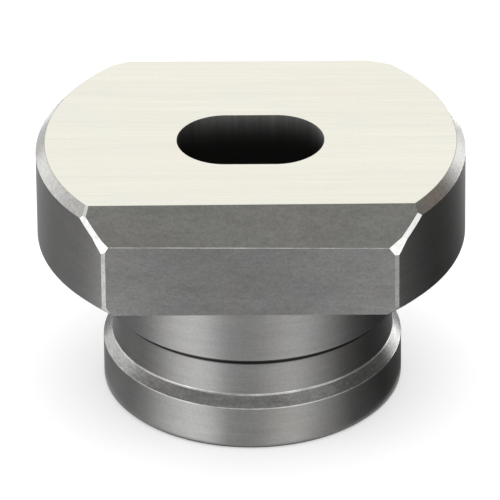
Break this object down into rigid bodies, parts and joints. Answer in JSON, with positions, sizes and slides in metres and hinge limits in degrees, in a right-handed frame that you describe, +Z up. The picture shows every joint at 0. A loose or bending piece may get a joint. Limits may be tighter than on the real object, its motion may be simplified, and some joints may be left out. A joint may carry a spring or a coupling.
{
  "type": "punching die",
  "caption": "Solid steel punching die: round flange with milled flats, a front bevel and an obround die hole, on a turned shank with a set-screw groove and a collar.",
  "frame": {"origin": "on the die's turned axis, on the plane of the foot that the collar stands on", "axes": "+Z up the axis to the cutting face, +X along the length of the obround hole, -Y out of the bevelled front flat"},
  "size_m": [0.0384, 0.0284, 0.0242],
  "materials": {
    "die_steel": "hardened tool steel: ground top face, milled flats and bevel, turned shank, fine tool marks, bare and lightly oiled"
  },
  "bodies": {
    "root": {"die_body": "die_steel"}
  },
  "joints": []
}
